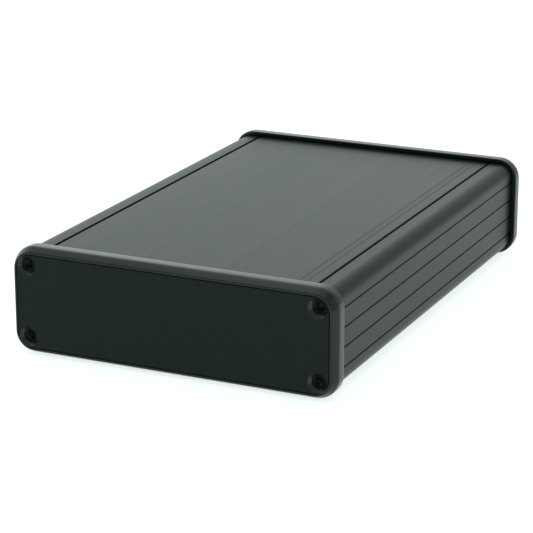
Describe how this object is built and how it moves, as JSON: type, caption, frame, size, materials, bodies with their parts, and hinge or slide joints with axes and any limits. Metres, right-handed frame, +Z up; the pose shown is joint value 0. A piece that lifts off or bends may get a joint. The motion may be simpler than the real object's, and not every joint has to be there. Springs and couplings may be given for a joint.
{
  "type": "logic analyzer",
  "caption": "Black extruded aluminium instrument case with plastic bezels, holding a logic analyzer board with a probe header and a USB socket.",
  "frame": {"origin": "middle of the whole object's box, on the surface it stands on", "axes": "+Y along the case, from the blank end panel to the connectors; +Z up; +X to the right when looking at the blank end"},
  "size_m": [0.1064, 0.1672, 0.0336],
  "materials": {
    "black_anodised": "black anodised, satin, with faint extrusion lines along Y",
    "panel_anodised": "black anodised sheet, fine and matt",
    "bezel_plastic": "moulded black plastic, fine texture",
    "screw_black": "black oxide",
    "board_green": "green solder mask, satin",
    "connector_plastic": "glass-filled black nylon",
    "gold_contacts": "gold flash",
    "tinned_steel": "tinned sheet steel",
    "socket_insert": "white nylon",
    "lamp_lens": "tinted clear epoxy",
    "chip_epoxy": "moulded black epoxy",
    "resistor_ceramic": "glazed black over white ceramic",
    "ferrite": "moulded ferrite",
    "capacitor_can": "bare aluminium can",
    "capacitor_ceramic": "tan ceramic"
  },
  "bodies": {
    "case": {"case_extrusion": "black_anodised", "front_bezel": "bezel_plastic", "front_panel": "panel_anodised", "front_screws": "screw_black"},
    "rear_end": {"rear_bezel": "bezel_plastic", "rear_panel": "panel_anodised", "rear_screws": "screw_black"},
    "cover": {"top_cover": "black_anodised"},
    "board": {"main_board": "board_green", "signal_header": "connector_plastic", "header_pins": "gold_contacts", "usb_shell": "tinned_steel", "usb_insert": "socket_insert", "usb_contacts": "gold_contacts", "lamp_holder": "connector_plastic", "status_lamps": "lamp_lens", "input_comparators": "chip_epoxy", "resistor_networks": "resistor_ceramic", "threshold_converter": "chip_epoxy", "capture_chip": "chip_epoxy", "memory_chips": "chip_epoxy", "usb_controller": "chip_epoxy", "settings_memory": "chip_epoxy", "sample_oscillator": "tinned_steel", "usb_crystal": "tinned_steel", "voltage_regulators": "chip_epoxy", "power_inductor": "ferrite", "bulk_capacitors": "capacitor_can", "bypass_capacitors": "capacitor_ceramic"},
    "latch_left": {"latch_left": "connector_plastic"},
    "latch_right": {"latch_right": "connector_plastic"}
  },
  "joints": [
    {"name": "rear_end_slide", "type": "slide", "parent": "case", "child": "rear_end", "axis": [0, 1, 0], "range_m": [0, 0.2]},
    {"name": "cover_slide", "type": "slide", "parent": "case", "child": "cover", "axis": [0, 1, 0], "range_m": [0, 0.17]},
    {"name": "board_slide", "type": "slide", "parent": "case", "child": "board", "axis": [0, 1, 0], "range_m": [0, 0.17]},
    {"name": "latch_left_swing", "type": "hinge", "parent": "board", "child": "latch_left", "pos_m": [-0.03859, 0.0726, 0.01655], "axis": [0, 0, 1], "range_deg": [0, 25]},
    {"name": "latch_right_swing", "type": "hinge", "parent": "board", "child": "latch_right", "pos_m": [0.01659, 0.0726, 0.01655], "axis": [0, 0, -1], "range_deg": [0, 25]}
  ],
  "couplings": [
    {"joint": "cover_slide", "follows": "rear_end_slide", "ratio": 0.85},
    {"joint": "board_slide", "follows": "rear_end_slide", "ratio": 0.85}
  ]
}
